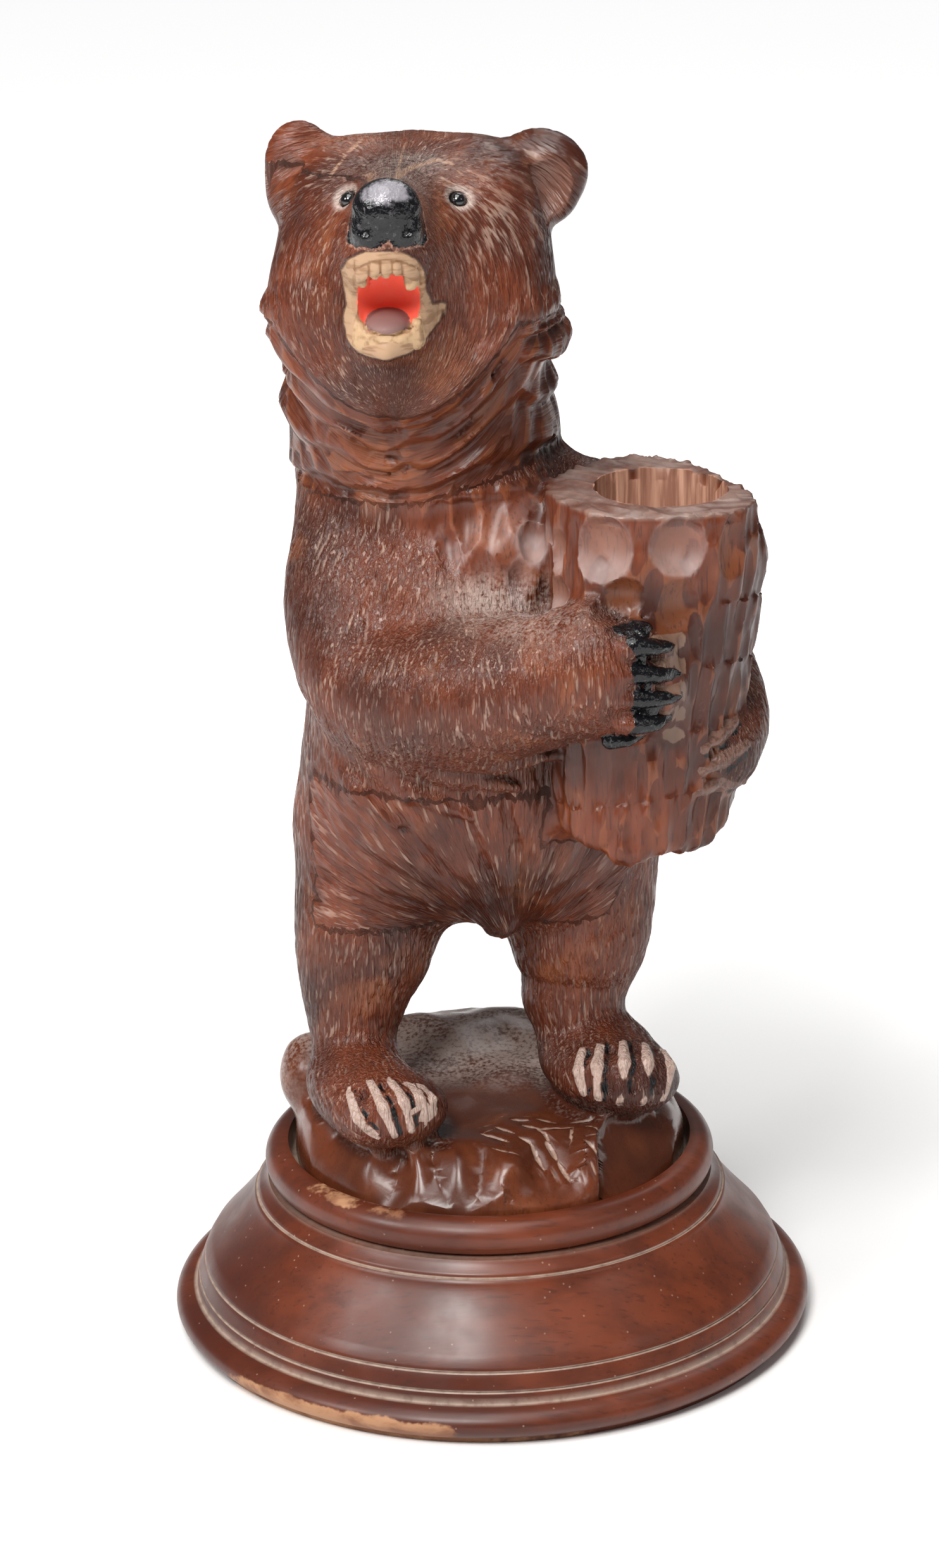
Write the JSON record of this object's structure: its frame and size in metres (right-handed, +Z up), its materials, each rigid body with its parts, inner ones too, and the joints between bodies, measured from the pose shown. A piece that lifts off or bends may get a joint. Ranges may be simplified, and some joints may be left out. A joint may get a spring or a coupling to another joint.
{
  "type": "carved wooden bear with tree trunk holder",
  "caption": "Carved wooden bear standing on a rock and hugging a hollow tree trunk holder, on a turned round plinth.",
  "frame": {"origin": "centre of the plinth's flat underside, the plane that the object stands on", "axes": "+Z up along the plinth's turning axis; the bear looks towards -Y; +X is the side of the trunk"},
  "size_m": [0.18, 0.18, 0.3378],
  "materials": {
    "stained_wood": "red-brown stain under worn satin varnish",
    "turned_wood": "red-brown stain under glossy varnish",
    "eye_glass": "opaque black glass bead"
  },
  "bodies": {
    "root": {"bear_carving": "stained_wood", "turned_plinth": "turned_wood", "left_eye": "eye_glass", "right_eye": "eye_glass"}
  },
  "joints": []
}
